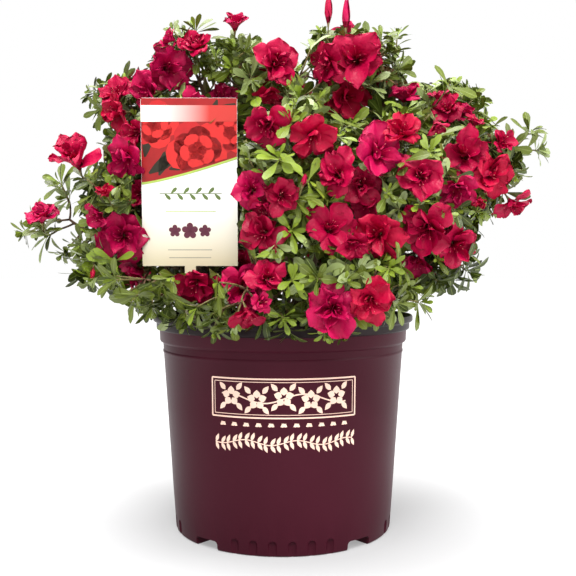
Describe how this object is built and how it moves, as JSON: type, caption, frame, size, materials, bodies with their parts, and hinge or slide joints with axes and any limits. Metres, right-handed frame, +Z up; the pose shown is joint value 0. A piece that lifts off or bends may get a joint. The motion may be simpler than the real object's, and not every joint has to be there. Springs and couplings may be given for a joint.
{
  "type": "azalea shrub in a nursery pot",
  "caption": "Bushy flowering azalea shrub with short woody boughs, leafy shoots and wide red blooms, growing from soil in a tapered plastic nursery pot with a picture label.",
  "frame": {"origin": "middle of the pot's flat underside, on the surface the pot stands on", "axes": "+Z up the pot's axis; -Y towards the side that the picture label faces; +X to the right as seen from that side"},
  "size_m": [0.6082, 0.4173, 0.5633],
  "materials": {
    "pot_plastic": "satin",
    "potting_soil": "matte",
    "label_card": "satin",
    "bark": "matte",
    "foliage": "satin"
  },
  "bodies": {
    "root": {"pot": "pot_plastic", "soil": "potting_soil", "plant_label": "label_card", "trunk": "bark", "bough_top_peak": "bark", "bough_upper_left_top": "bark", "bough_front_middle": "bark", "bough_back_middle": "bark", "bough_right_middle": "bark", "bough_left_arm": "bark", "bough_back_left": "bark", "bough_back_right": "bark", "bough_front_right": "bark", "bough_top_left_sprig": "bark", "bough_top_right_sprig": "bark", "bough_top_middle": "bark", "bough_back_top": "bark", "bough_right_upper": "bark", "bough_right_arm": "bark", "bough_right_low": "bark", "bough_front_left": "bark", "bough_left_front": "bark", "bough_left_low": "bark", "bough_left_upper": "bark", "bough_left_shoulder": "bark", "bough_left_rim": "bark", "bough_front_rim": "bark", "bough_right_rim": "bark", "bough_back_low_left": "bark", "bough_back_low_right": "bark", "mass_top_peak": "foliage", "mass_upper_left_top": "foliage", "mass_front_middle": "foliage", "mass_back_middle": "foliage", "mass_right_middle": "foliage", "mass_left_arm": "foliage", "mass_back_left": "foliage", "mass_back_right": "foliage", "mass_front_right": "foliage", "mass_top_left_sprig": "foliage", "mass_top_right_sprig": "foliage", "mass_top_middle": "foliage", "mass_back_top": "foliage", "mass_right_upper": "foliage", "mass_right_arm": "foliage", "mass_right_low": "foliage", "mass_front_left": "foliage", "mass_left_front": "foliage", "mass_left_low": "foliage", "mass_left_upper": "foliage", "mass_left_shoulder": "foliage", "mass_left_rim": "foliage", "mass_front_rim": "foliage", "mass_right_rim": "foliage", "mass_back_low_left": "foliage", "mass_back_low_right": "foliage"}
  },
  "joints": []
}
